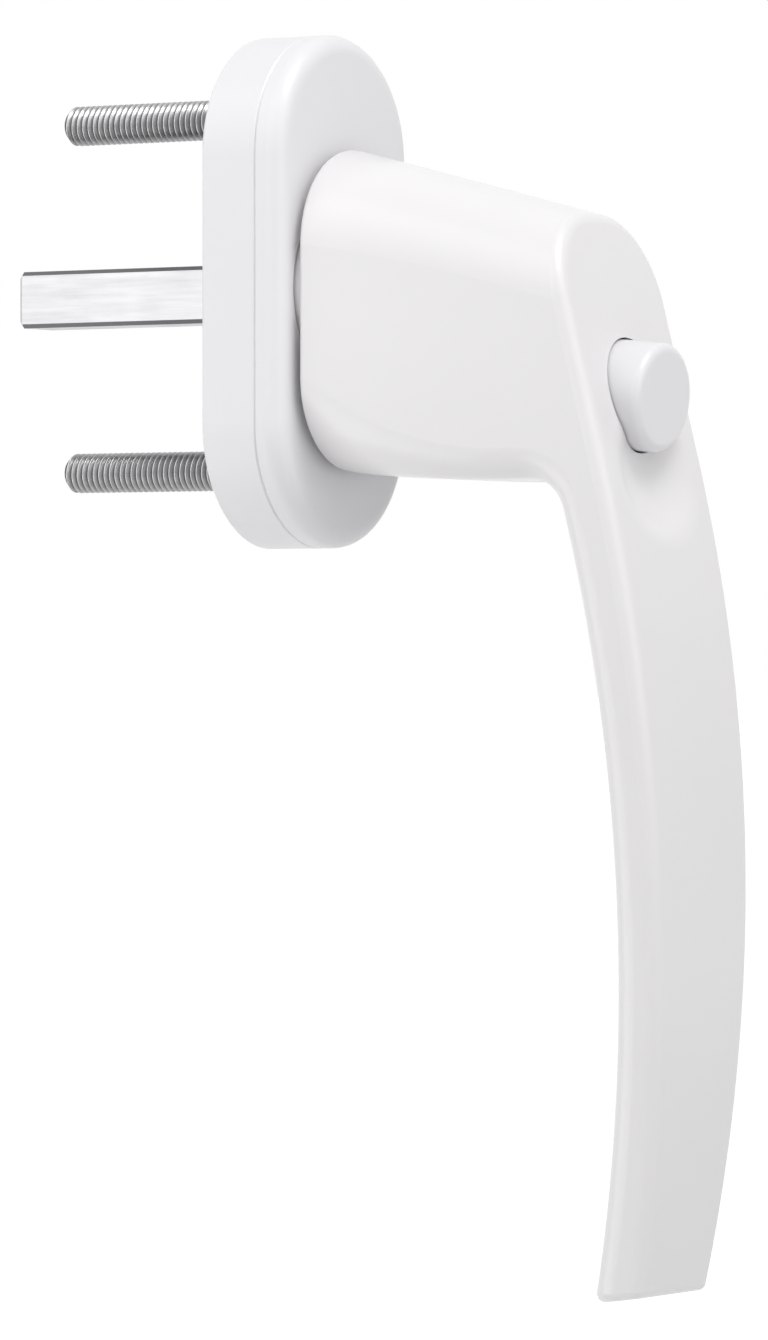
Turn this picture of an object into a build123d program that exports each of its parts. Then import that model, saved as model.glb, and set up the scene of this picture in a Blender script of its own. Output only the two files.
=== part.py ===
from build123d import *
import os
from math import asin, cos, radians, sin, sqrt, tan

# Window handle for a tilt-and-turn sash, with a push button that frees the lever. Millimetres.
# The origin is on the spindle axis, in the face that lies on the sash. +Z is up and the room is on
# the -Y side, so a depth below is a distance from the sash towards the room.

# Lever
NECK_WIDTH = 24.6
NECK_GAP = 1.0  # from the rosette's front to the neck
BOSS_INSET = 0.6  # how far the neck's boss reaches into the rosette
BOSS_CLEARANCE = 0.35  # between the boss and the rosette's opening
NECK_TOP = 17.15
NECK_BOTTOM = -21.8
NECK_TOP_SLOPE = 0.265
NECK_EDGE_RADIUS = 0.5
NECK_TOP_FLAT = 0.6  # width left between the upper corners at the rosette
NECK_LOW_FLAT = 1.8  # width left between the lower corners at the rosette
BEND_ROOM = 7.7  # length of the bend's underside, from the neck to the grip's back
BEND_RADIUS = 5.0
GRIP_SHOULDER = -23.3  # underside of the neck at the bend
GRIP_TOP_FLAT = 4.2  # width left between the upper corners at the bend
GRIP_APEX_DEPTH = 61.25
GRIP_APEX_HEIGHT = -77.2
GRIP_FACE_RADIUS = 228.0
GRIP_STRAIGHT = -20.0  # above this height the grip's front is straight
GRIP_BACK_RADIUS = 194.0
GRIP_THICKNESS = 7.0  # at the apex
GRIP_TAPER_START = -24.0
GRIP_END = -120.45
GRIP_END_WIDTH = 15.8
GRIP_END_RISE = 1.1  # how much higher the end is at the front
GRIP_END_EDGE_RADIUS = 1.0
GRIP_FRONT_EDGE_RADIUS = 1.8
GRIP_BACK_EDGE_RADIUS = 3.6

# Push button and the dish below it
BUTTON_RADIUS = 6.5
BUTTON_PROUD = 3.55  # how far the face stands in front of the grip
BUTTON_DROP = 13.8  # below the spindle axis, at the face
BUTTON_TILT = 5.5  # degrees
BUTTON_LENGTH = 13.0
BUTTON_EDGE_RADIUS = 1.1
BUTTON_WALL = 1.4
BUTTON_CROWN = 4.5
BUTTON_BOSS_RADIUS = 2.9
BUTTON_BOSS_RECESS = 1.0
BUTTON_CLEARANCE = 0.25
BUTTON_END_ROOM = 0.6
DISH_LENGTH = 15.0
DISH_MARGIN = 4.05  # from the neck's side to the dish's side
DISH_SINK = 1.8
DISH_OFFSET = 9.4  # from the button's centre down to the dish's centre
DISH_EDGE_RADIUS = 6.0

# Button spring
SPRING_WIRE_RADIUS = 0.4
SPRING_COIL_RADIUS = 3.95
SPRING_TURNS = 5

# Locking pin, which passes through the index plate when the button is pressed
LOCK_RADIUS = 2.0
LOCK_WAIST_RADIUS = 1.0
LOCK_TIP_LENGTH = 1.1
LOCK_SHANK_RADIUS = 1.5
LOCK_SHANK_LENGTH = 20.0
LOCK_SEAT_LENGTH = 6.0  # length held in the button
LOCK_CLEARANCE = 0.25
LOCK_REST_CLEARANCE = 0.35
LOCK_GUIDE_RADIUS = 3.0
LOCK_GUIDE_LENGTH = 8.0
LOCK_GUIDE_INSET = 0.4

# Rosette
ROSETTE_HEIGHT = 62.2
CAP_DEPTH = 3.7
CAP_WALL = 1.6
CAP_FRONT_WALL = 1.8
CAP_EDGE_RADIUS = 2.2
CAP_SKIRT_WALL = 0.5
CAP_SKIRT_CLEARANCE = 0.2
CAP_SKIRT_GAP = 0.3
BASE_WALL = 2.2
BASE_WEB = 1.4
JOINT_LINE_CHAMFER = 0.2
BACK_CHAMFER = 0.4

# Index plate
PLATE_THICKNESS = 1.5
PLATE_RIM = 1.1  # steel left outside the notches
PLATE_CLEARANCE = 0.1
NOTCH_COUNT = 4
NOTCH_CLEARANCE = 0.3

# Fixing screws
SCREW_SPACING = 43.0
SCREW_PROJECTION = 28.8
SCREW_HEAD_RADIUS = 4.6
SCREW_HEAD_RIM = 0.2
SCREW_HEAD_SINK = 0.4
SCREW_SHANK_RADIUS = 2.2
SCREW_THREAD_RADIUS = 2.45
SCREW_TIP_CHAMFER = 0.7
SCREW_HOLE_CLEARANCE = 0.25
SCREW_RECESS_SPAN = 5.0
SCREW_RECESS_WIDTH = 1.0
SCREW_RECESS_DEPTH = 2.0

# Spindle and the pin that holds it
SPINDLE_SIDE = 7.0
SPINDLE_PROJECTION = 34.8
SPINDLE_SOCKET_DEPTH = 30.0
SPINDLE_EDGE_CHAMFER = 0.5
SPINDLE_END_CHAMFER = 0.8
SPINDLE_PIN_RADIUS = 1.25
SPINDLE_PIN_WALL = 0.45
SPINDLE_PIN_SLIT = 0.5
SPINDLE_PIN_INSET = 0.15

# Bearing, detent and retaining ring
COLLAR_CLEARANCE = 0.4
COLLAR_STEP = 0.55
COLLAR_END = 0.15
COLLAR_FLAT = 0.6  # depth of the two flats that turn the cam
BUSH_WALL = 1.3
BUSH_FLANGE = 0.4
BUSH_FLANGE_WIDTH = 2.0
CAM_RECESS_DEPTH = 2.0
CAM_THICKNESS = 1.1
CAM_SIDE = 13.6
CAM_CORNER_RADIUS = 8.4
DETENT_SPRING_LENGTH = 19.0
DETENT_SPRING_THICKNESS = 0.5
DETENT_ROOM = 0.3
RING_THICKNESS = 0.5
RING_GROOVE = 0.4
RING_WIDTH = 1.5
RING_GAP = 5.0
RING_EYE_RADIUS = 0.5

# Fits
SEAT_CLEARANCE = 0.02
RUNNING_CLEARANCE = 0.05
ON_CURVE = 0.01  # how near an edge lies to the curve that it follows

# Planes: FACE holds (x, z) and rises with depth, SIDE holds (depth, z), TURN holds (radius, depth).
FACE = Plane.XZ
SIDE = Plane(origin=(0, 0, 0), x_dir=(0, -1, 0), z_dir=(-1, 0, 0))
TURN = Plane(origin=(0, 0, 0), x_dir=(1, 0, 0), z_dir=(0, 0, -1))


def grip_front(height):
    """(depth, z) on the grip's front: an arc with a straight run at its top."""
    arc_rise = min(height, GRIP_STRAIGHT) - GRIP_APEX_HEIGHT
    straight_rise = max(height - GRIP_STRAIGHT, 0)
    reach = sqrt(GRIP_FACE_RADIUS**2 - arc_rise**2)
    return GRIP_APEX_DEPTH - GRIP_FACE_RADIUS + reach - straight_rise * arc_rise / reach, height


def grip_back(height):
    """(depth, z) on the grip's back curve."""
    drop = GRIP_BACK_RADIUS - sqrt(GRIP_BACK_RADIUS**2 - (height - GRIP_APEX_HEIGHT) ** 2)
    return GRIP_APEX_DEPTH - GRIP_THICKNESS - drop, height


# The button, its spring and the locking pin share one tilted axis.
# LOCK_TURN holds (radius, distance along the axis), zero at the button's face and negative inside.
TILT = radians(BUTTON_TILT)
BUTTON_FACE_DEPTH = grip_front(-BUTTON_DROP)[0] + BUTTON_PROUD
BUTTON_FACE = (0, -BUTTON_FACE_DEPTH, -BUTTON_DROP)
LOCK_OUTWARD = Vector(0, -cos(TILT), -sin(TILT))
LOCK_AXIS = Axis(BUTTON_FACE, LOCK_OUTWARD)
LOCK_TURN = Plane(BUTTON_FACE, x_dir=(1, 0, 0), z_dir=Vector(1, 0, 0).cross(LOCK_OUTWARD))


def lock_drop(depth):
    """How far the tilted axis lies below the spindle axis at a depth."""
    return BUTTON_DROP - (BUTTON_FACE_DEPTH - depth) * tan(TILT)


def lock_place(depth):
    """Where the tilted axis reaches a depth, as a distance along it."""
    return -(BUTTON_FACE_DEPTH - depth) / cos(TILT)


# Depths of the stack in the rosette, from the sash outwards
WEB_FRONT = CAM_RECESS_DEPTH + BASE_WEB
FLANGE_FRONT = WEB_FRONT + BUSH_FLANGE
TIP_LEAN = LOCK_RADIUS * sin(TILT)
TIP_PRESSED = FLANGE_FRONT + LOCK_CLEARANCE + TIP_LEAN
PLATE_BACK = TIP_PRESSED + LOCK_TIP_LENGTH * cos(TILT) + TIP_LEAN + LOCK_CLEARANCE
PLATE_FRONT = PLATE_BACK + PLATE_THICKNESS
TIP_REST = PLATE_FRONT + LOCK_REST_CLEARANCE + TIP_LEAN
PRESS_TRAVEL = (TIP_REST - TIP_PRESSED) / cos(TILT)
LOCK_GUIDE_END = PLATE_FRONT + LOCK_CLEARANCE + TIP_LEAN + TIP_REST - TIP_PRESSED
BASE_DEPTH = PLATE_FRONT + SCREW_HEAD_SINK
ROSETTE_DEPTH = BASE_DEPTH + CAP_DEPTH
NECK_START = ROSETTE_DEPTH + NECK_GAP
BOSS_BACK = ROSETTE_DEPTH - BOSS_INSET
BOSS_FRONT = NECK_START + 2 * NECK_EDGE_RADIUS
BEND_START = grip_back(GRIP_SHOULDER)[0] - BEND_ROOM
NECK_LENGTH = BEND_START - NECK_START

# Radii of the rosette's pieces, from the spindle axis outwards
TIP_SWAY = PLATE_THICKNESS / 2 * tan(TILT)
COLLAR_RADIUS = lock_drop(TIP_PRESSED) - LOCK_RADIUS - COLLAR_CLEARANCE
SPIGOT_RADIUS = COLLAR_RADIUS - COLLAR_STEP
SPIGOT_FLAT = 2 * (SPIGOT_RADIUS - COLLAR_FLAT)
BUSH_BORE = SPIGOT_RADIUS + RUNNING_CLEARANCE
BUSH_RADIUS = BUSH_BORE + BUSH_WALL
NOTCH_CENTRE = lock_drop((PLATE_BACK + PLATE_FRONT) / 2)
NOTCH_RADIUS = LOCK_RADIUS + TIP_SWAY + NOTCH_CLEARANCE
PLATE_HOLE_RADIUS = NOTCH_CENTRE + LOCK_WAIST_RADIUS + TIP_SWAY + NOTCH_CLEARANCE
ORBIT_RADIUS = lock_drop(PLATE_BACK) + LOCK_RADIUS + 2 * LOCK_CLEARANCE
PLATE_WIDTH = 2 * (NOTCH_CENTRE + NOTCH_RADIUS + PLATE_RIM)
POCKET_WIDTH = PLATE_WIDTH + 2 * PLATE_CLEARANCE
ROSETTE_WIDTH = POCKET_WIDTH + 2 * BASE_WALL
POCKET_HEIGHT = ROSETTE_HEIGHT - 2 * BASE_WALL
CAP_SKIRT_RADIUS = POCKET_WIDTH / 2 - CAP_SKIRT_CLEARANCE
CAP_HOLE_RADIUS = CAP_SKIRT_RADIUS - CAP_SKIRT_WALL
DETENT_SEAT = CAM_SIDE / 2 + SEAT_CLEARANCE + DETENT_SPRING_THICKNESS / 2
CAM_RECESS_RADIUS = CAM_CORNER_RADIUS + DETENT_SPRING_THICKNESS + DETENT_ROOM
CAM_FRONT = CAM_RECESS_DEPTH - RUNNING_CLEARANCE
CAM_BACK = CAM_FRONT - CAM_THICKNESS
RING_FRONT = CAM_BACK - SEAT_CLEARANCE
SPINDLE_PIN_DEPTH = (PLATE_FRONT + BOSS_BACK) / 2

# Depths of a screw head's rim and of the small end of its cone
HEAD_RIM = PLATE_FRONT - SCREW_HEAD_RIM
HEAD_BACK = HEAD_RIM - SCREW_HEAD_RADIUS + SCREW_SHANK_RADIUS

# Places along the tilted axis
BUTTON_BORE_END = -(BUTTON_LENGTH + PRESS_TRAVEL + BUTTON_END_ROOM)
LOCK_FRONT_END = LOCK_SEAT_LENGTH - BUTTON_LENGTH + BUTTON_BOSS_RECESS
LOCK_SHOULDER = LOCK_FRONT_END - LOCK_SHANK_LENGTH
GUIDE_BACK = lock_place(NECK_START + LOCK_GUIDE_INSET)
GUIDE_FRONT = GUIDE_BACK + LOCK_GUIDE_LENGTH

SCREW_PLACES = [(0, SCREW_SPACING / 2), (0, -SCREW_SPACING / 2)]
NECK_HALF = NECK_WIDTH / 2
NECK_TOP_CORNER = NECK_HALF - NECK_TOP_FLAT / 2
NECK_LOW_CORNER = NECK_HALF - NECK_LOW_FLAT / 2
GRIP_TOP_CORNER = NECK_HALF - GRIP_TOP_FLAT / 2


def neck_top(depth):
    """Height of the neck's sloping top line."""
    return NECK_TOP - NECK_TOP_SLOPE * (depth - NECK_START)


def crowned_top(depth, corner):
    """Top edge of a section or outline, from its left side over the crown to its right side."""
    top = neck_top(depth)
    left = RadiusArc((-NECK_HALF, top - corner), (corner - NECK_HALF, top), corner)
    crown = Line(left @ 1, (NECK_HALF - corner, top))
    right = RadiusArc(crown @ 1, (NECK_HALF, top - corner), corner)
    return left @ 0, right @ 1


def neck_section(depth):
    """Cross-section of the neck, with corners that tighten towards the bend."""
    ease = ((BEND_START - depth) / NECK_LENGTH) ** 2
    bottom = GRIP_SHOULDER + (NECK_BOTTOM - GRIP_SHOULDER) * ease
    corner = GRIP_BACK_EDGE_RADIUS + (NECK_LOW_CORNER - GRIP_BACK_EDGE_RADIUS) * ease
    with BuildSketch(FACE.offset(depth)) as section:
        with BuildLine():
            start, end = crowned_top(depth, GRIP_TOP_CORNER + (NECK_TOP_CORNER - GRIP_TOP_CORNER) * ease)
            right = Line(end, (NECK_HALF, bottom + corner))
            right_corner = RadiusArc(right @ 1, (NECK_HALF - corner, bottom), corner)
            base = Line(right_corner @ 1, (corner - NECK_HALF, bottom))
            left_corner = RadiusArc(base @ 1, (-NECK_HALF, bottom + corner), corner)
            Line(left_corner @ 1, start)
        make_face()
    return section.sketch


def grip_outline(depth):
    """Front view of the grip: the neck's crowned top, straight sides and a long taper to the end."""
    end_height = GRIP_END - GRIP_END_RISE
    with BuildSketch(FACE.offset(depth)) as outline:
        with BuildLine():
            start, end = crowned_top(depth, GRIP_TOP_CORNER)
            right = Line(end, (NECK_HALF, GRIP_TAPER_START))
            right_taper = TangentArc(right @ 1, (GRIP_END_WIDTH / 2, end_height), tangent=(0, -1))
            left = Line(start, (-NECK_HALF, GRIP_TAPER_START))
            left_taper = TangentArc(left @ 1, (-GRIP_END_WIDTH / 2, end_height), tangent=(0, -1))
            Line(right_taper @ 1, left_taper @ 1)
        make_face()
    return outline.sketch


def on_grip_back(edge):
    """Is this one of the two long edges down the grip's back?"""
    middle = edge @ 0.5
    is_long = edge.length > (GRIP_SHOULDER - GRIP_END) / 2
    return is_long and abs(-middle.Y - grip_back(middle.Z)[0]) < ON_CURVE


with BuildPart() as lever:
    # Grip and bend: the front view crossed with the side view
    loft(sections=[grip_outline(BEND_START), grip_outline(GRIP_APEX_DEPTH + GRIP_THICKNESS)], ruled=True)
    with BuildSketch(SIDE) as side_view:
        grip_top = neck_top(BEND_START) + NECK_EDGE_RADIUS
        with BuildLine():
            front = ThreePointArc(
                grip_front(GRIP_STRAIGHT),
                grip_front(GRIP_APEX_HEIGHT),
                grip_front(GRIP_END + GRIP_END_RISE),
            )
            back = ThreePointArc(
                grip_back(GRIP_END), grip_back(GRIP_APEX_HEIGHT), grip_back(GRIP_SHOULDER)
            )
            Line(front @ 1, back @ 0)
            Polyline(
                back @ 1,
                (BEND_START, GRIP_SHOULDER),
                (BEND_START, grip_top),
                grip_front(grip_top),
                front @ 0,
            )
        make_face()
        inner_corner = Vector(*grip_back(GRIP_SHOULDER))
        fillet(side_view.vertices().sort_by_distance(inner_corner)[0], BEND_RADIUS)
    extrude(amount=NECK_WIDTH, both=True, mode=Mode.INTERSECT)
    fillet(lever.edges().filter_by(on_grip_back), GRIP_BACK_EDGE_RADIUS)
    # Neck
    loft(sections=[neck_section(NECK_START + NECK_LENGTH * share) for share in (0, 1 / 3, 2 / 3, 1)])
    front_face = lever.faces().filter_by(GeomType.CYLINDER).sort_by(SortBy.AREA)[-1]
    fillet(front_face.edges().sort_by(SortBy.LENGTH)[-2:], GRIP_FRONT_EDGE_RADIUS)
    end_face = lever.faces().filter_by(GeomType.PLANE).sort_by(Axis.Z)[0]
    fillet(end_face.edges(), GRIP_END_EDGE_RADIUS)
    neck_face = lever.faces().filter_by(Axis.Y).sort_by(Axis.Y)[-1]
    fillet(neck_face.outer_wire().edges(), NECK_EDGE_RADIUS)
    # Boss that fills the rosette's opening, rooted deeper in the neck than its rounded edge
    with BuildSketch(FACE.offset(BOSS_BACK)):
        Circle(CAP_HOLE_RADIUS - BOSS_CLEARANCE)
    extrude(amount=BOSS_FRONT - BOSS_BACK)
    # Collar that turns in the rosette, with flats and a groove at its end
    with BuildSketch(FACE.offset(FLANGE_FRONT + RUNNING_CLEARANCE)):
        Circle(COLLAR_RADIUS)
    extrude(until=Until.NEXT)
    with BuildSketch(FACE.offset(COLLAR_END)):
        Circle(SPIGOT_RADIUS)
    extrude(until=Until.NEXT)
    with BuildSketch(FACE.offset(COLLAR_END)):
        Rectangle(2 * COLLAR_RADIUS, 2 * COLLAR_RADIUS)
        Rectangle(SPIGOT_FLAT, 2 * COLLAR_RADIUS, mode=Mode.SUBTRACT)
    extrude(amount=CAM_RECESS_DEPTH - COLLAR_END, mode=Mode.SUBTRACT)
    with BuildSketch(FACE.offset(RING_FRONT)):
        Circle(SPIGOT_RADIUS + RING_GROOVE)
        Circle(SPIGOT_RADIUS - RING_GROOVE, mode=Mode.SUBTRACT)
    extrude(amount=-RING_THICKNESS, mode=Mode.SUBTRACT)
    # Spindle socket and the hole for its pin
    with BuildSketch(FACE):
        Rectangle(SPINDLE_SIDE + 2 * SEAT_CLEARANCE, SPINDLE_SIDE + 2 * SEAT_CLEARANCE)
    extrude(amount=SPINDLE_SOCKET_DEPTH, mode=Mode.SUBTRACT)
    with BuildSketch(SIDE):
        with Locations((SPINDLE_PIN_DEPTH, 0)):
            Circle(SPINDLE_PIN_RADIUS + SEAT_CLEARANCE)
    extrude(amount=COLLAR_RADIUS, both=True, mode=Mode.SUBTRACT)
    # Thumb dish
    dish_height = -BUTTON_DROP - DISH_OFFSET
    dish_lean = asin((dish_height - GRIP_APEX_HEIGHT) / GRIP_FACE_RADIUS)
    dish_outward = Vector(0, -cos(dish_lean), sin(dish_lean))
    dish_along = Vector(0, sin(dish_lean), cos(dish_lean))
    dish_waist = ((NECK_HALF - DISH_MARGIN) ** 2 + DISH_SINK**2) / (2 * DISH_SINK)
    dish_curve = (DISH_LENGTH**2 / 4 + DISH_SINK**2) / (2 * DISH_SINK)
    dish_reach = DISH_LENGTH * 2 / 3  # the hollow is drawn past both ends of the dish
    dish_end = dish_waist - dish_curve + sqrt(dish_curve**2 - dish_reach**2)
    dish_depth = grip_front(dish_height)[0]
    dish_origin = Vector(0, -dish_depth, dish_height) + dish_outward * (dish_waist - DISH_SINK)
    with BuildSketch(Plane(dish_origin, x_dir=dish_along, z_dir=dish_outward.cross(dish_along))):
        with BuildLine():
            hollow = ThreePointArc((-dish_reach, -dish_end), (0, -dish_waist), (dish_reach, -dish_end))
            Polyline(hollow @ 1, (dish_reach, 0), (-dish_reach, 0), hollow @ 0)
        make_face()
    revolve(axis=Axis(dish_origin, dish_along), mode=Mode.SUBTRACT)
    fillet(lever.edges(Select.NEW), DISH_EDGE_RADIUS)
    # Stepped bore for the button, the locking pin and its guide
    with BuildSketch(LOCK_TURN):
        with BuildLine():
            Polyline(
                (0, BUTTON_LENGTH),
                (BUTTON_RADIUS + BUTTON_CLEARANCE, BUTTON_LENGTH),
                (BUTTON_RADIUS + BUTTON_CLEARANCE, BUTTON_BORE_END),
                (LOCK_SHANK_RADIUS + RUNNING_CLEARANCE, BUTTON_BORE_END),
                (LOCK_SHANK_RADIUS + RUNNING_CLEARANCE, LOCK_SHOULDER + SEAT_CLEARANCE),
                (LOCK_RADIUS + 2 * RUNNING_CLEARANCE, LOCK_SHOULDER + SEAT_CLEARANCE),
                (LOCK_RADIUS + 2 * RUNNING_CLEARANCE, GUIDE_FRONT),
                (LOCK_GUIDE_RADIUS + SEAT_CLEARANCE, GUIDE_FRONT),
                (LOCK_GUIDE_RADIUS + SEAT_CLEARANCE, GUIDE_BACK - LOCK_GUIDE_RADIUS),
                (0, GUIDE_BACK - LOCK_GUIDE_RADIUS),
                close=True,
            )
        make_face()
    revolve(axis=LOCK_AXIS, mode=Mode.SUBTRACT)

with BuildPart() as push_button:
    with BuildSketch(LOCK_TURN):
        with BuildLine():
            Polyline(
                (0, 0),
                (BUTTON_RADIUS, 0),
                (BUTTON_RADIUS, -BUTTON_LENGTH),
                (BUTTON_RADIUS - BUTTON_WALL, -BUTTON_LENGTH),
                (BUTTON_RADIUS - BUTTON_WALL, -BUTTON_CROWN),
                (BUTTON_BOSS_RADIUS, -BUTTON_CROWN),
                (BUTTON_BOSS_RADIUS, BUTTON_BOSS_RECESS - BUTTON_LENGTH),
                (LOCK_SHANK_RADIUS + SEAT_CLEARANCE, BUTTON_BOSS_RECESS - BUTTON_LENGTH),
                (LOCK_SHANK_RADIUS + SEAT_CLEARANCE, LOCK_FRONT_END),
                (0, LOCK_FRONT_END),
                close=True,
            )
        make_face()
    revolve(axis=LOCK_AXIS)
    rim = push_button.edges().filter_by(GeomType.CIRCLE).sort_by_distance(Vector(*BUTTON_FACE))
    fillet(rim.filter_by(lambda edge: abs(edge.radius - BUTTON_RADIUS) < ON_CURVE)[0], BUTTON_EDGE_RADIUS)

with BuildPart() as locking_pin:
    tip_end = lock_place(TIP_REST)
    guide_end = lock_place(LOCK_GUIDE_END)
    with BuildSketch(LOCK_TURN):
        with BuildLine():
            Polyline(
                (0, LOCK_FRONT_END),
                (LOCK_SHANK_RADIUS, LOCK_FRONT_END),
                (LOCK_SHANK_RADIUS, LOCK_SHOULDER),
                (LOCK_RADIUS, LOCK_SHOULDER),
                (LOCK_RADIUS, guide_end),
                (LOCK_WAIST_RADIUS, guide_end),
                (LOCK_WAIST_RADIUS, tip_end + LOCK_TIP_LENGTH),
                (LOCK_RADIUS, tip_end + LOCK_TIP_LENGTH),
                (LOCK_RADIUS, tip_end),
                (0, tip_end),
                close=True,
            )
        make_face()
    revolve(axis=LOCK_AXIS)

with BuildPart() as button_spring:
    spring_low = BUTTON_BORE_END + SPRING_WIRE_RADIUS + SEAT_CLEARANCE
    spring_high = -BUTTON_CROWN - SPRING_WIRE_RADIUS - SEAT_CLEARANCE
    spring_seat = Vector(*BUTTON_FACE) + LOCK_OUTWARD * spring_low
    spring_height = spring_high - spring_low
    with BuildLine() as coil:
        Helix(
            pitch=spring_height / SPRING_TURNS,
            height=spring_height,
            radius=SPRING_COIL_RADIUS,
            center=spring_seat,
            direction=LOCK_OUTWARD,
        )
    with BuildSketch(Plane(coil.line @ 0, z_dir=coil.line % 0)):
        Circle(SPRING_WIRE_RADIUS)
    sweep(path=coil.line, is_frenet=True)

with BuildPart() as pin_guide:
    with BuildSketch(LOCK_TURN):
        with BuildLine():
            Polyline(
                (LOCK_RADIUS + RUNNING_CLEARANCE, GUIDE_BACK),
                (LOCK_GUIDE_RADIUS, GUIDE_BACK),
                (LOCK_GUIDE_RADIUS, GUIDE_FRONT - SEAT_CLEARANCE),
                (LOCK_RADIUS + RUNNING_CLEARANCE, GUIDE_FRONT - SEAT_CLEARANCE),
                close=True,
            )
        make_face()
    revolve(axis=LOCK_AXIS)

with BuildPart() as spindle:
    with BuildSketch(FACE.offset(-SPINDLE_PROJECTION)):
        Rectangle(SPINDLE_SIDE, SPINDLE_SIDE)
    extrude(amount=SPINDLE_PROJECTION + SPINDLE_SOCKET_DEPTH - SEAT_CLEARANCE)
    chamfer(spindle.edges().filter_by(Axis.Y), SPINDLE_EDGE_CHAMFER)
    chamfer(spindle.faces().sort_by(Axis.Y)[-1].edges(), SPINDLE_END_CHAMFER)
    with BuildSketch(SIDE):
        with Locations((SPINDLE_PIN_DEPTH, 0)):
            Circle(SPINDLE_PIN_RADIUS + SEAT_CLEARANCE)
    extrude(amount=SPINDLE_SIDE, both=True, mode=Mode.SUBTRACT)

with BuildPart() as spindle_pin:
    with BuildSketch(SIDE):
        with Locations((SPINDLE_PIN_DEPTH, 0)):
            Circle(SPINDLE_PIN_RADIUS)
            Circle(SPINDLE_PIN_RADIUS - SPINDLE_PIN_WALL, mode=Mode.SUBTRACT)
        with Locations((SPINDLE_PIN_DEPTH + SPINDLE_PIN_RADIUS, 0)):
            Rectangle(2 * SPINDLE_PIN_RADIUS, SPINDLE_PIN_SLIT, mode=Mode.SUBTRACT)
    extrude(amount=sqrt(COLLAR_RADIUS**2 - SPINDLE_PIN_RADIUS**2) - SPINDLE_PIN_INSET, both=True)

with BuildPart() as rosette_base:
    with BuildSketch(FACE):
        SlotOverall(ROSETTE_HEIGHT, ROSETTE_WIDTH, rotation=90)
    extrude(amount=BASE_DEPTH)
    chamfer(rosette_base.faces().sort_by(Axis.Y)[-1].edges(), BACK_CHAMFER)
    chamfer(rosette_base.faces().sort_by(Axis.Y)[0].edges(), JOINT_LINE_CHAMFER)
    # Pocket for the index plate, and behind it the room where the locking pin's tip goes round
    with BuildSketch(FACE.offset(PLATE_BACK)):
        SlotOverall(POCKET_HEIGHT, POCKET_WIDTH, rotation=90)
    extrude(amount=BASE_DEPTH, mode=Mode.SUBTRACT)
    with BuildSketch(FACE.offset(WEB_FRONT)):
        Circle(ORBIT_RADIUS)
    extrude(amount=BASE_DEPTH, mode=Mode.SUBTRACT)
    # Bush seat and screw holes
    with BuildSketch(FACE):
        Circle(BUSH_RADIUS + SEAT_CLEARANCE)
        with Locations(*SCREW_PLACES):
            Circle(SCREW_THREAD_RADIUS + SCREW_HOLE_CLEARANCE)
    extrude(amount=BASE_DEPTH, mode=Mode.SUBTRACT)
    with BuildSketch(FACE.offset(HEAD_BACK)):
        with Locations(*SCREW_PLACES):
            Circle(SCREW_HEAD_RADIUS - PLATE_THICKNESS + SCREW_HEAD_RIM + SCREW_HOLE_CLEARANCE)
    extrude(amount=BASE_DEPTH, mode=Mode.SUBTRACT)
    # Recess for the detent cam, with slots that hold the ends of its two springs
    with BuildSketch(FACE):
        Circle(CAM_RECESS_RADIUS)
        with Locations((0, DETENT_SEAT), (0, -DETENT_SEAT)):
            Rectangle(
                DETENT_SPRING_LENGTH + 2 * SEAT_CLEARANCE, DETENT_SPRING_THICKNESS + 2 * SEAT_CLEARANCE
            )
    extrude(amount=CAM_RECESS_DEPTH, mode=Mode.SUBTRACT)

with BuildPart() as rosette_cap:
    with BuildSketch(FACE.offset(BASE_DEPTH)):
        SlotOverall(ROSETTE_HEIGHT, ROSETTE_WIDTH, rotation=90)
    extrude(amount=CAP_DEPTH)
    fillet(rosette_cap.faces().sort_by(Axis.Y)[0].edges(), CAP_EDGE_RADIUS)
    chamfer(rosette_cap.faces().sort_by(Axis.Y)[-1].edges(), JOINT_LINE_CHAMFER)
    with BuildSketch(FACE.offset(BASE_DEPTH)):
        SlotOverall(ROSETTE_HEIGHT - 2 * CAP_WALL, ROSETTE_WIDTH - 2 * CAP_WALL, rotation=90)
    extrude(amount=CAP_DEPTH - CAP_FRONT_WALL, mode=Mode.SUBTRACT)
    # Round skirt that centres the cap in the base and lets it turn
    with BuildSketch(FACE.offset(PLATE_FRONT + CAP_SKIRT_GAP)):
        Circle(CAP_SKIRT_RADIUS)
    extrude(amount=ROSETTE_DEPTH - CAP_FRONT_WALL / 2 - PLATE_FRONT - CAP_SKIRT_GAP)
    with BuildSketch(FACE):
        Circle(CAP_HOLE_RADIUS)
    extrude(amount=2 * ROSETTE_DEPTH, mode=Mode.SUBTRACT)

with BuildPart() as index_plate:
    with BuildSketch(FACE.offset(PLATE_BACK)):
        SlotOverall(POCKET_HEIGHT - 2 * PLATE_CLEARANCE, PLATE_WIDTH, rotation=90)
        Circle(PLATE_HOLE_RADIUS, mode=Mode.SUBTRACT)
        with PolarLocations(NOTCH_CENTRE, NOTCH_COUNT):
            Circle(NOTCH_RADIUS, mode=Mode.SUBTRACT)
    extrude(amount=PLATE_THICKNESS)
    for place in SCREW_PLACES:
        with BuildSketch(Plane((0, 0, place[1]), x_dir=(1, 0, 0), z_dir=(0, 0, -1))):
            with BuildLine():
                Polyline(
                    (0, PLATE_FRONT),
                    (SCREW_HEAD_RADIUS + SEAT_CLEARANCE, PLATE_FRONT),
                    (SCREW_HEAD_RADIUS + SEAT_CLEARANCE, HEAD_RIM),
                    (SCREW_SHANK_RADIUS + SEAT_CLEARANCE, HEAD_BACK),
                    (0, HEAD_BACK),
                    close=True,
                )
            make_face()
        revolve(axis=Axis((0, 0, place[1]), (0, 1, 0)), mode=Mode.SUBTRACT)

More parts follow.
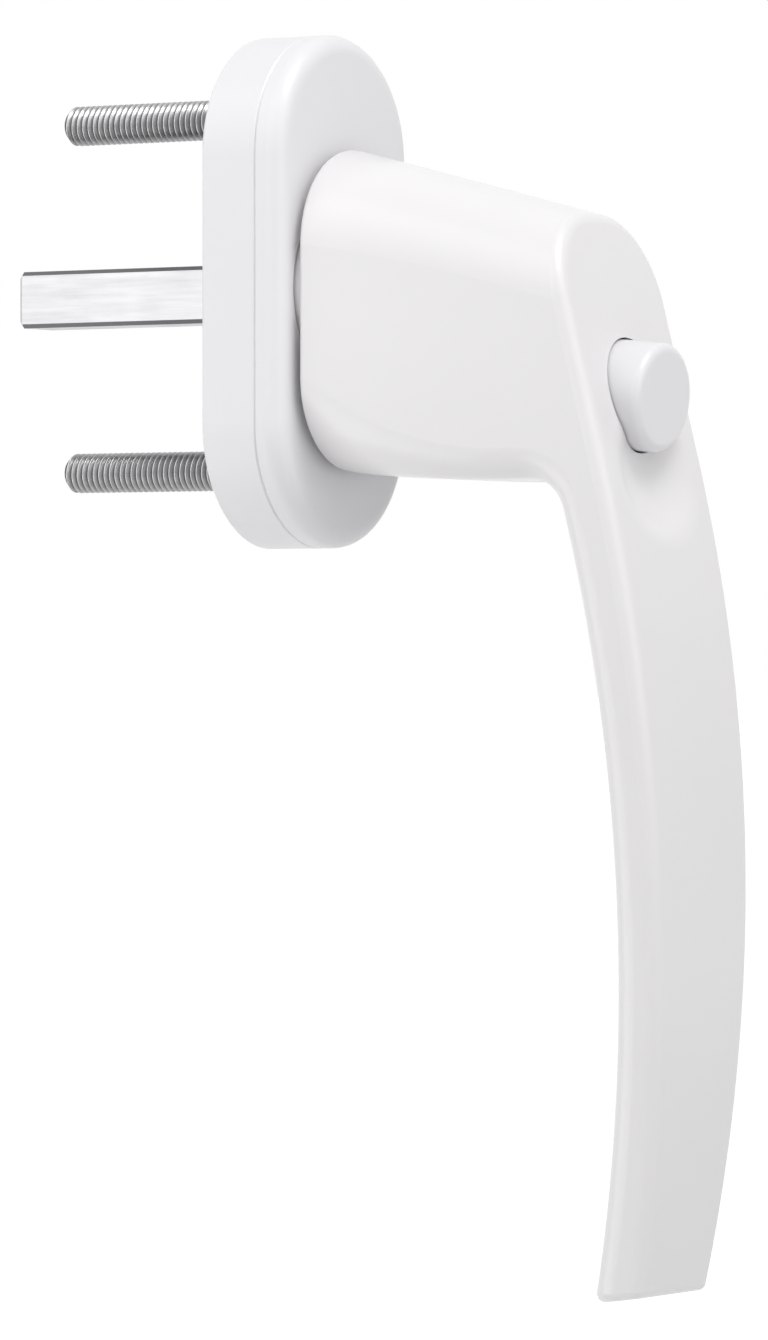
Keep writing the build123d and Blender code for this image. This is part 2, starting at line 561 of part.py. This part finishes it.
with BuildPart() as fixing_screws:
    for place in SCREW_PLACES:
        with BuildSketch(Plane((0, 0, place[1]), x_dir=(1, 0, 0), z_dir=(0, 0, -1))):
            with BuildLine():
                Polyline(
                    (0, PLATE_FRONT),
                    (SCREW_HEAD_RADIUS, PLATE_FRONT),
                    (SCREW_HEAD_RADIUS, HEAD_RIM),
                    (SCREW_SHANK_RADIUS, HEAD_BACK),
                    (SCREW_SHANK_RADIUS, 0),
                    (SCREW_THREAD_RADIUS, 0),
                    (SCREW_THREAD_RADIUS, SCREW_TIP_CHAMFER - SCREW_PROJECTION),
                    (SCREW_THREAD_RADIUS - SCREW_TIP_CHAMFER, -SCREW_PROJECTION),
                    (0, -SCREW_PROJECTION),
                    close=True,
                )
            make_face()
        revolve(axis=Axis((0, 0, place[1]), (0, 1, 0)))
    with BuildSketch(FACE.offset(PLATE_FRONT)):
        with Locations(*SCREW_PLACES):
            Rectangle(SCREW_RECESS_SPAN, SCREW_RECESS_WIDTH)
            Rectangle(SCREW_RECESS_WIDTH, SCREW_RECESS_SPAN)
    extrude(amount=-SCREW_RECESS_DEPTH, mode=Mode.SUBTRACT)

with BuildPart() as bearing_bush:
    with BuildSketch(TURN):
        with BuildLine():
            Polyline(
                (BUSH_BORE, CAM_RECESS_DEPTH),
                (BUSH_RADIUS, CAM_RECESS_DEPTH),
                (BUSH_RADIUS, WEB_FRONT),
                (BUSH_RADIUS + BUSH_FLANGE_WIDTH, WEB_FRONT),
                (BUSH_RADIUS + BUSH_FLANGE_WIDTH, FLANGE_FRONT),
                (BUSH_BORE, FLANGE_FRONT),
                close=True,
            )
        make_face()
    revolve(axis=Axis.Y)

with BuildPart() as detent_cam:
    with BuildSketch(FACE.offset(CAM_BACK)):
        Circle(CAM_CORNER_RADIUS)
        Rectangle(CAM_SIDE, CAM_SIDE, mode=Mode.INTERSECT)
        with BuildSketch(mode=Mode.SUBTRACT):
            Circle(SPIGOT_RADIUS + SEAT_CLEARANCE)
            Rectangle(SPIGOT_FLAT + 2 * SEAT_CLEARANCE, 2 * CAM_SIDE, mode=Mode.INTERSECT)
    extrude(amount=CAM_THICKNESS)

with BuildPart() as detent_springs:
    with BuildSketch(FACE.offset(CAM_BACK)):
        with Locations((0, DETENT_SEAT), (0, -DETENT_SEAT)):
            Rectangle(DETENT_SPRING_LENGTH, DETENT_SPRING_THICKNESS)
    extrude(amount=CAM_THICKNESS)

with BuildPart() as retaining_ring:
    ring_inner = SPIGOT_RADIUS - RING_GROOVE + SEAT_CLEARANCE
    eye_circle = ring_inner + RING_WIDTH / 2
    eye_offset = RING_GAP / 2 + RING_WIDTH / 2
    with BuildSketch(FACE.offset(RING_FRONT - SEAT_CLEARANCE)):
        Circle(ring_inner + RING_WIDTH)
        Circle(ring_inner, mode=Mode.SUBTRACT)
        with Locations((0, -eye_circle)):
            Rectangle(RING_GAP, 2 * RING_WIDTH, mode=Mode.SUBTRACT)
        with Locations(*[(side * eye_offset, -sqrt(eye_circle**2 - eye_offset**2)) for side in (-1, 1)]):
            Circle(RING_EYE_RADIUS, mode=Mode.SUBTRACT)
    extrude(amount=2 * SEAT_CLEARANCE - RING_THICKNESS)

PIECES = {
    "lever": lever,
    "push_button": push_button,
    "locking_pin": locking_pin,
    "button_spring": button_spring,
    "pin_guide": pin_guide,
    "spindle": spindle,
    "spindle_pin": spindle_pin,
    "rosette_base": rosette_base,
    "rosette_cap": rosette_cap,
    "index_plate": index_plate,
    "fixing_screws": fixing_screws,
    "bearing_bush": bearing_bush,
    "detent_cam": detent_cam,
    "detent_springs": detent_springs,
    "retaining_ring": retaining_ring,
}

os.makedirs("parts", exist_ok=True)
for name, piece in PIECES.items():
    piece.part.label = name
    export_step(piece.part, f"parts/{name}.step")

print(f"press travel {PRESS_TRAVEL:.4f}, rosette {ROSETTE_WIDTH:.2f} wide and {ROSETTE_DEPTH:.2f} deep")
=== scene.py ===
import math

import bmesh
import bpy
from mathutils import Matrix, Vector


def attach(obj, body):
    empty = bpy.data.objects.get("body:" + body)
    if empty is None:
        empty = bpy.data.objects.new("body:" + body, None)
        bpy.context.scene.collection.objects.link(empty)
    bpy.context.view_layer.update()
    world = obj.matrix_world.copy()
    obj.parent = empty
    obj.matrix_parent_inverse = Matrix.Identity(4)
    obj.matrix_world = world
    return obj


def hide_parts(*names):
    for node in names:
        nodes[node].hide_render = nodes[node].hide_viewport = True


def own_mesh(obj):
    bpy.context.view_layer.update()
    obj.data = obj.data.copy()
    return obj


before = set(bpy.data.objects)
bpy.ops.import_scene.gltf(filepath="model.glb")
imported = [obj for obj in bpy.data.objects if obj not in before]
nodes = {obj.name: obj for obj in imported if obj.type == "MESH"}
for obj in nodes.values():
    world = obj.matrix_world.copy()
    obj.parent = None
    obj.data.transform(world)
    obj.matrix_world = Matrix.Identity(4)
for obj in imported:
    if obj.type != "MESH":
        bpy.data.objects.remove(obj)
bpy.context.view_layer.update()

# Sizes in metres, in the frame's axes: +Y into the sash, +Z up, the room on the -Y side

# Screw thread
SCREW_HEIGHT = 0.0215  # of the upper screw above the spindle axis
THREAD_RADIUS = 0.00245
THREAD_ROOT = 0.00203
THREAD_PITCH = 0.0008
THREAD_LENGTH = 0.0288
THREAD_TIP = 0.0007  # bevel at the end
THREAD_SIDES = 40
# One turn's profile: (share of the pitch, share of the thread's height)
THREAD_PROFILE = [(0.0, 0.0), (0.1, 0.0), (0.44, 0.86), (0.5, 1.0), (0.6, 1.0), (0.66, 0.86)]
SPARE_TURNS = 2  # one before the thread's start and one past its end
SHARP_ANGLE = 40  # degrees
MERGE_DISTANCE = 1e-7
BACK_SLACK = 1e-6  # how far in front of the rosette's back a face still counts as behind it

# White finishes
NOISE_MIDDLE = (0.3, 0.7)  # most of a noise factor lies between these
CLOUD_SCALE = 45.0
CLOUD_DETAIL = 1.0
GLOSS_SCALE = 160.0
GLOSS_BELOW = 0.03
GLOSS_ABOVE = 0.04
PEEL_DETAIL = 2.0
PEEL_STRENGTH = 0.12
COAT_ROUGHNESS = 0.12

# Steel
STREAK_DETAIL = 4.0
STREAK_ROUGHNESS = 0.65
STREAK_STRENGTH = 0.2
STREAK_DEPTH = 0.00003
STAIN_SCALE = 260.0
STAIN_BELOW = 0.06
STAIN_ABOVE = 0.08
BAR_STRETCH = (1.0, 0.06, 1.0)  # draws the streaks out along the spindle
BEVEL_SLANT = (0.15, 0.4)  # from a flat to a bevel, as the product of a normal's two parts
# painted dark reflection on the spindle's bevels
BEVEL_PAINTED_REFLECTION = (0.16, 0.16, 0.17)
# painted shade in the screw thread's roots
THREAD_PAINTED_SHADE = (0.10, 0.10, 0.10)

# A Mix node's colour sockets
MIX_FROM = 6
MIX_TO = 7
MIX_RESULT = 2

# World, floor, lights and camera
WHITE = (1.0, 1.0, 1.0, 1.0)
WORLD_STRENGTH = 0.40
FLOOR_SIZE = 60.0
FLOOR_HEIGHT = -0.18
FLOOR_COLOUR = (0.90, 0.90, 0.90, 1.0)
FLOOR_ROUGHNESS = 0.9
GLOW_REACH = 0.93
GLOW_NEAR = 0.0
GLOW_FAR = 0.66
MIDDLE = (0.0, -0.03, -0.05)
SCREWS_MIDDLE = (0.0, 0.0, -0.02)
KEY_PLACE = (-0.10, -0.29, 0.48)
# Name, place, target, size and power of each lamp
LAMPS = [
    ("key_light", KEY_PLACE, MIDDLE, 0.25, 1.55),
    ("left_light", (-0.22, 0.07, 0.12), MIDDLE, 0.3, 0.31),
    ("front_light", (-0.15, -0.47, 0.17), MIDDLE, 0.4, 0.62),
    ("low_light", (-0.15, 0.20, -0.12), SCREWS_MIDDLE, 0.2, 0.20),
]
PHOTO_HEIGHT = 1340
FOCAL_PIXELS = 7380
SENSOR_MM = 36.0
CAMERA_PLACE = (-0.75572, -0.48897, -0.04585)
CAMERA_TILT = 90  # degrees, level
CAMERA_TURN = -58  # degrees, from looking along +Y
CAMERA_REACH = 100.0


# Node helpers

def new_material(name):
    """A material with its output and Principled shader alone."""
    material = bpy.data.materials.new(name)
    material.use_nodes = True
    tree = material.node_tree
    return material, tree, tree.nodes["Principled BSDF"]


def add(tree, kind, **values):
    """Adds a node and sets its sockets by name, or else its own properties."""
    node = tree.nodes.new(kind)
    for key, value in values.items():
        if key in node.inputs:
            node.inputs[key].default_value = value
        else:
            setattr(node, key, value)
    return node


def math_node(tree, operation, *values):
    """A Math node whose inputs are other nodes' outputs or plain numbers."""
    node = add(tree, "ShaderNodeMath", operation=operation)
    for socket, value in zip(node.inputs, values):
        if isinstance(value, bpy.types.NodeSocket):
            tree.links.new(value, socket)
        else:
            socket.default_value = value
    return node.outputs[0]


def split(tree, vector):
    """The three parts of a vector."""
    node = add(tree, "ShaderNodeSeparateXYZ")
    tree.links.new(vector, node.inputs["Vector"])
    return node.outputs["X"], node.outputs["Y"], node.outputs["Z"]


def object_coords(tree, stretch=(1.0, 1.0, 1.0)):
    """Coordinates in metres, stretched along the frame's axes."""
    coords = add(tree, "ShaderNodeTexCoord")
    mapping = add(tree, "ShaderNodeMapping", Scale=stretch)
    tree.links.new(coords.outputs["Object"], mapping.inputs["Vector"])
    return mapping.outputs["Vector"]


def noise(tree, vector, scale, detail=3.0, roughness=0.55):
    """A noise factor from zero to one."""
    node = add(tree, "ShaderNodeTexNoise", Scale=scale, Detail=detail, Roughness=roughness)
    tree.links.new(vector, node.inputs["Vector"])
    return node.outputs["Fac"]


def span(tree, factor, ends, low, high):
    """Maps the factor's stretch between two ends onto low to high."""
    node = add(tree, "ShaderNodeMapRange")
    tree.links.new(factor, node.inputs["Value"])
    for socket, value in zip(("From Min", "From Max", "To Min", "To Max"), (*ends, low, high)):
        node.inputs[socket].default_value = value
    return node.outputs["Result"]


def ramp(tree, factor, low, high):
    """A colour between low and high, over the middle of a noise factor."""
    node = add(tree, "ShaderNodeValToRGB")
    for element, position, colour in zip(node.color_ramp.elements, NOISE_MIDDLE, (low, high)):
        element.position = position
        element.color = (*colour, 1.0)
    tree.links.new(factor, node.inputs["Fac"])
    return node.outputs["Color"]


def darken(tree, colour, factor, shade):
    """Mixes a colour towards a darker shade where the factor is one."""
    node = add(tree, "ShaderNodeMix", data_type="RGBA")
    tree.links.new(factor, node.inputs["Factor"])
    tree.links.new(colour, node.inputs[MIX_FROM])
    node.inputs[MIX_TO].default_value = (*shade, 1.0)
    return node.outputs[MIX_RESULT]


def bump(tree, shader, height, strength, distance):
    """Roughens a shader's surface by a height factor."""
    node = add(tree, "ShaderNodeBump", Strength=strength, Distance=distance)
    tree.links.new(height, node.inputs["Height"])
    tree.links.new(node.outputs["Normal"], shader.inputs["Normal"])


# Materials

def white_finish(name, low, high, roughness, peel_scale, peel_depth, coat):
    """White coat or moulding: soft cloudy shade, uneven gloss and a fine skin."""
    material, tree, shader = new_material(name)
    vector = object_coords(tree)
    clouds = noise(tree, vector, CLOUD_SCALE, CLOUD_DETAIL)
    tree.links.new(ramp(tree, clouds, low, high), shader.inputs["Base Color"])
    patches = noise(tree, vector, GLOSS_SCALE)
    gloss = span(tree, patches, NOISE_MIDDLE, roughness - GLOSS_BELOW, roughness + GLOSS_ABOVE)
    tree.links.new(gloss, shader.inputs["Roughness"])
    bump(tree, shader, noise(tree, vector, peel_scale, PEEL_DETAIL), PEEL_STRENGTH, peel_depth)
    shader.inputs["Coat Weight"].default_value = coat
    shader.inputs["Coat Roughness"].default_value = COAT_ROUGHNESS
    return material


def steel(name, low, high, roughness, streak_scale, stretch=(1.0, 1.0, 1.0)):
    """Plated or drawn steel, with streaks along one axis."""
    material, tree, shader = new_material(name)
    place = object_coords(tree, stretch)
    streaks = noise(tree, place, streak_scale, STREAK_DETAIL, STREAK_ROUGHNESS)
    stains = noise(tree, object_coords(tree), STAIN_SCALE)
    colour = ramp(tree, streaks, low, high)
    tree.links.new(colour, shader.inputs["Base Color"])
    gloss = span(tree, stains, NOISE_MIDDLE, roughness - STAIN_BELOW, roughness + STAIN_ABOVE)
    tree.links.new(gloss, shader.inputs["Roughness"])
    bump(tree, shader, streaks, STREAK_STRENGTH, STREAK_DEPTH)
    shader.inputs["Metallic"].default_value = 1.0
    return material, tree, shader, colour


def spindle_steel():
    """Drawn bar, with a painted dark reflection on the bevels between its flats."""
    material, tree, shader, colour = steel(
        "bright_bar",
        low=(0.46, 0.46, 0.47),
        high=(0.55, 0.55, 0.56),
        roughness=0.34,
        streak_scale=1400.0,
        stretch=BAR_STRETCH,
    )
    normal = add(tree, "ShaderNodeTexCoord").outputs["Normal"]
    across, _, up = split(tree, normal)
    slant = math_node(
        tree, "MULTIPLY", math_node(tree, "ABSOLUTE", across), math_node(tree, "ABSOLUTE", up)
    )
    # Painted dark reflection: the bevels get a darker colour
    bevel = span(tree, slant, BEVEL_SLANT, 0.0, 1.0)
    tree.links.new(darken(tree, colour, bevel, BEVEL_PAINTED_REFLECTION), shader.inputs["Base Color"])
    return material


def screw_steel():
    """Zinc plate with painted shade down in the thread's roots."""
    material, tree, shader, colour = steel(
        "screw_zinc",
        low=(0.42, 0.42, 0.43),
        high=(0.57, 0.57, 0.58),
        roughness=0.32,
        streak_scale=900.0,
    )
    across, along, up = split(tree, object_coords(tree))
    from_axis = math_node(tree, "SUBTRACT", math_node(tree, "ABSOLUTE", up), SCREW_HEIGHT)
    radius = math_node(
        tree,
        "SQRT",
        math_node(
            tree,
            "ADD",
            math_node(tree, "MULTIPLY", across, across),
            math_node(tree, "MULTIPLY", from_axis, from_axis),
        ),
    )
    # Painted shade: darker towards the thread's root, on the part behind the rosette
    depth = span(tree, radius, (THREAD_ROOT, THREAD_RADIUS), 1.0, 0.0)
    behind = math_node(tree, "GREATER_THAN", along, 0.0)
    painted_thread_shade = math_node(tree, "MULTIPLY", depth, behind)
    tree.links.new(darken(tree, colour, painted_thread_shade, THREAD_PAINTED_SHADE), shader.inputs["Base Color"])
    return material


lever_coat = white_finish(
    "lever_coat",
    low=(0.765, 0.752, 0.760),
    high=(0.778, 0.765, 0.773),
    roughness=0.34,
    peel_scale=2600.0,
    peel_depth=0.00002,
    coat=0.25,
)
moulding = white_finish(
    "rosette_moulding",
    low=(0.752, 0.745, 0.762),
    high=(0.764, 0.758, 0.774),
    roughness=0.38,
    peel_scale=3000.0,
    peel_depth=0.00002,
    coat=0.1,
)
button_white = white_finish(
    "button_moulding",
    low=(0.750, 0.745, 0.765),
    high=(0.762, 0.757, 0.777),
    roughness=0.34,
    peel_scale=2600.0,
    peel_depth=0.00002,
    coat=0.2,
)
acetal = white_finish(
    "acetal",
    low=(0.70, 0.68, 0.62),
    high=(0.75, 0.73, 0.68),
    roughness=0.5,
    peel_scale=1500.0,
    peel_depth=0.00003,
    coat=0.0,
)
bright = spindle_steel()
screw_zinc = screw_steel()
zinc, *_ = steel(
    "zinc_plate",
    low=(0.46, 0.46, 0.47),
    high=(0.66, 0.66, 0.67),
    roughness=0.34,
    streak_scale=900.0,
)
spring, *_ = steel(
    "spring_steel",
    low=(0.24, 0.24, 0.25),
    high=(0.36, 0.36, 0.37),
    roughness=0.38,
    streak_scale=700.0,
)

FINISHES = {
    "lever": lever_coat,
    "push_button": button_white,
    "rosette_base": moulding,
    "rosette_cap": moulding,
    "pin_guide": acetal,
    "bearing_bush": acetal,
    "spindle": bright,
    "locking_pin": zinc,
    "index_plate": zinc,
    "detent_cam": zinc,
    "fixing_screws": screw_zinc,
    "button_spring": spring,
    "spindle_pin": spring,
    "detent_springs": spring,
    "retaining_ring": spring,
}
for node_name, finish in FINISHES.items():
    mesh = nodes[node_name].data
    mesh.materials.clear()
    mesh.materials.append(finish)


# Screws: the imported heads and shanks, with a real thread on the part behind the rosette

def thread_point(row, side):
    """Place along the screw and radius of a point on the helix, which leans by a pitch a turn."""
    turn, step = divmod(row, len(THREAD_PROFILE))
    share, rise = THREAD_PROFILE[step]
    along = (turn + share + side / THREAD_SIDES - 1.0) * THREAD_PITCH
    along = min(max(along, 0.0), THREAD_LENGTH)
    radius = THREAD_ROOT + (THREAD_RADIUS - THREAD_ROOT) * rise
    radius = min(radius, THREAD_RADIUS - THREAD_TIP + THREAD_LENGTH - along)
    if along in (0.0, THREAD_LENGTH):
        radius = min(radius, THREAD_ROOT)
    return along, radius


def add_thread(shape, height):
    """Adds one screw's threaded length, from the rosette's back to its bevelled tip."""
    per_turn = len(THREAD_PROFILE)
    rows = (math.ceil(THREAD_LENGTH / THREAD_PITCH) + SPARE_TURNS) * per_turn
    grid = []
    for side in range(THREAD_SIDES):
        angle = 2 * math.pi * side / THREAD_SIDES
        column = []
        for row in range(rows):
            along, radius = thread_point(row, side)
            place = (radius * math.cos(angle), along, height + radius * math.sin(angle))
            column.append(shape.verts.new(place))
        grid.append(column)
    # The last column meets the first one a turn further on
    grid.append(grid[0][per_turn:])
    for here, there in zip(grid, grid[1:]):
        for row in range(len(there) - 1):
            shape.faces.new((here[row], here[row + 1], there[row + 1], there[row]))


def close_screw(shape, height):
    """Joins one screw's thread to its shank and closes its tip."""
    open_edges = [
        edge for edge in shape.edges if edge.is_boundary and edge.verts[0].co.z * height > 0
    ]
    start = [edge for edge in open_edges if edge.verts[0].co.y < THREAD_PITCH]
    tip = [edge for edge in open_edges if edge.verts[0].co.y > THREAD_PITCH]
    bmesh.ops.bridge_loops(shape, edges=start)
    bmesh.ops.edgeloop_fill(shape, edges=tip)


def threaded_screws():
    """Both screws as one piece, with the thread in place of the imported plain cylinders."""
    shape = bmesh.new()
    shape.from_mesh(nodes["fixing_screws"].data)
    bmesh.ops.remove_doubles(shape, verts=shape.verts, dist=MERGE_DISTANCE)
    behind = [face for face in shape.faces if face.calc_center_median().y > -BACK_SLACK]
    bmesh.ops.delete(shape, geom=behind, context="FACES")
    for height in (SCREW_HEIGHT, -SCREW_HEIGHT):
        add_thread(shape, height)
    bmesh.ops.remove_doubles(shape, verts=shape.verts, dist=MERGE_DISTANCE)
    bmesh.ops.dissolve_degenerate(shape, edges=shape.edges, dist=MERGE_DISTANCE)
    for height in (SCREW_HEIGHT, -SCREW_HEIGHT):
        close_screw(shape, height)
    bmesh.ops.recalc_face_normals(shape, faces=shape.faces)
    mesh = bpy.data.meshes.new("threaded_screws")
    shape.to_mesh(mesh)
    shape.free()
    mesh.shade_smooth()
    mesh.set_sharp_from_angle(angle=math.radians(SHARP_ANGLE))
    mesh.materials.clear()
    mesh.materials.append(screw_zinc)
    piece = bpy.data.objects.new("threaded_screws", mesh)
    bpy.context.scene.collection.objects.link(piece)
    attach(piece, "rosette")
    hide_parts("fixing_screws")


threaded_screws()


# Button spring: a copy of the imported coil, as a piece of its own on the lever's body

def pressed_spring():
    """The coil as a piece of its own on the lever's body, in place of the imported one."""
    mesh = nodes["button_spring"].data.copy()
    piece = bpy.data.objects.new("pressed_spring", mesh)
    bpy.context.scene.collection.objects.link(piece)
    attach(piece, "lever")
    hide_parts("button_spring")
    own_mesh(piece)


pressed_spring()


# World, floor, lights and camera

def seen_directly(tree):
    """One where a ray comes from the camera, a reflection or a see-through surface."""
    path = add(tree, "ShaderNodeLightPath").outputs
    mirrored = math_node(tree, "MAXIMUM", path["Is Glossy Ray"], path["Is Transmission Ray"])
    return math_node(tree, "MAXIMUM", path["Is Camera Ray"], mirrored)


def white_where_seen(tree, lighting, seen, output):
    """Lights the scene with one shader and shows the other."""
    mix = add(tree, "ShaderNodeMixShader")
    tree.links.new(seen_directly(tree), mix.inputs["Fac"])
    tree.links.new(lighting, mix.inputs[1])
    tree.links.new(seen, mix.inputs[2])
    tree.links.new(mix.outputs["Shader"], tree.nodes[output].inputs["Surface"])


def studio_world():
    """Soft light from all round, and white where it is seen."""
    world = bpy.data.worlds.new("studio")
    bpy.context.scene.world = world
    world.use_nodes = True
    tree = world.node_tree
    lighting = tree.nodes["Background"]
    lighting.inputs["Color"].default_value = WHITE
    lighting.inputs["Strength"].default_value = WORLD_STRENGTH
    seen = add(tree, "ShaderNodeBackground", Color=WHITE, Strength=1.0)
    white_where_seen(tree, lighting.outputs[0], seen.outputs[0], "World Output")


def studio_floor():
    """White floor that shows the shadow below the object."""
    bpy.ops.mesh.primitive_plane_add(size=FLOOR_SIZE, location=(0, 0, FLOOR_HEIGHT))
    floor = bpy.context.object
    floor.name = "floor"
    material, tree, shader = new_material("floor_white")
    shader.inputs["Base Color"].default_value = FLOOR_COLOUR
    shader.inputs["Roughness"].default_value = FLOOR_ROUGHNESS
    glow = add(tree, "ShaderNodeEmission", Color=WHITE)
    # The glow makes up for the key light's fall-off, and leaves the shadow below the object
    away = add(tree, "ShaderNodeVectorMath", operation="DISTANCE")
    tree.links.new(object_coords(tree), away.inputs[0])
    away.inputs[1].default_value = (KEY_PLACE[0], KEY_PLACE[1], 0.0)
    strength = span(tree, away.outputs["Value"], (0.0, GLOW_REACH), GLOW_NEAR, GLOW_FAR)
    tree.links.new(strength, glow.inputs["Strength"])
    both = add(tree, "ShaderNodeAddShader")
    tree.links.new(shader.outputs["BSDF"], both.inputs[0])
    tree.links.new(glow.outputs["Emission"], both.inputs[1])
    white_where_seen(tree, shader.outputs["BSDF"], both.outputs["Shader"], "Material Output")
    floor.data.materials.append(material)


def softbox(name, place, target, size, power):
    """A square area lamp that faces a target."""
    lamp = bpy.data.lights.new(name, "AREA")
    lamp.shape = "SQUARE"
    lamp.size = size
    lamp.energy = power
    holder = bpy.data.objects.new(name, lamp)
    bpy.context.scene.collection.objects.link(holder)
    holder.location = place
    holder.rotation_euler = (Vector(target) - Vector(place)).to_track_quat("-Z", "Y").to_euler()


def photo_camera():
    """The photo's viewpoint and angle of view."""
    camera = bpy.data.cameras.new("photo_camera")
    camera.sensor_fit = "VERTICAL"
    camera.sensor_height = SENSOR_MM
    camera.lens = FOCAL_PIXELS / PHOTO_HEIGHT * SENSOR_MM
    camera.clip_end = CAMERA_REACH
    viewer = bpy.data.objects.new("photo_camera", camera)
    bpy.context.scene.collection.objects.link(viewer)
    viewer.location = CAMERA_PLACE
    viewer.rotation_euler = (math.radians(CAMERA_TILT), 0.0, math.radians(CAMERA_TURN))
    bpy.context.scene.camera = viewer


studio_world()
studio_floor()
for settings in LAMPS:
    softbox(*settings)
photo_camera()
bpy.context.scene.view_settings.view_transform = "Standard"
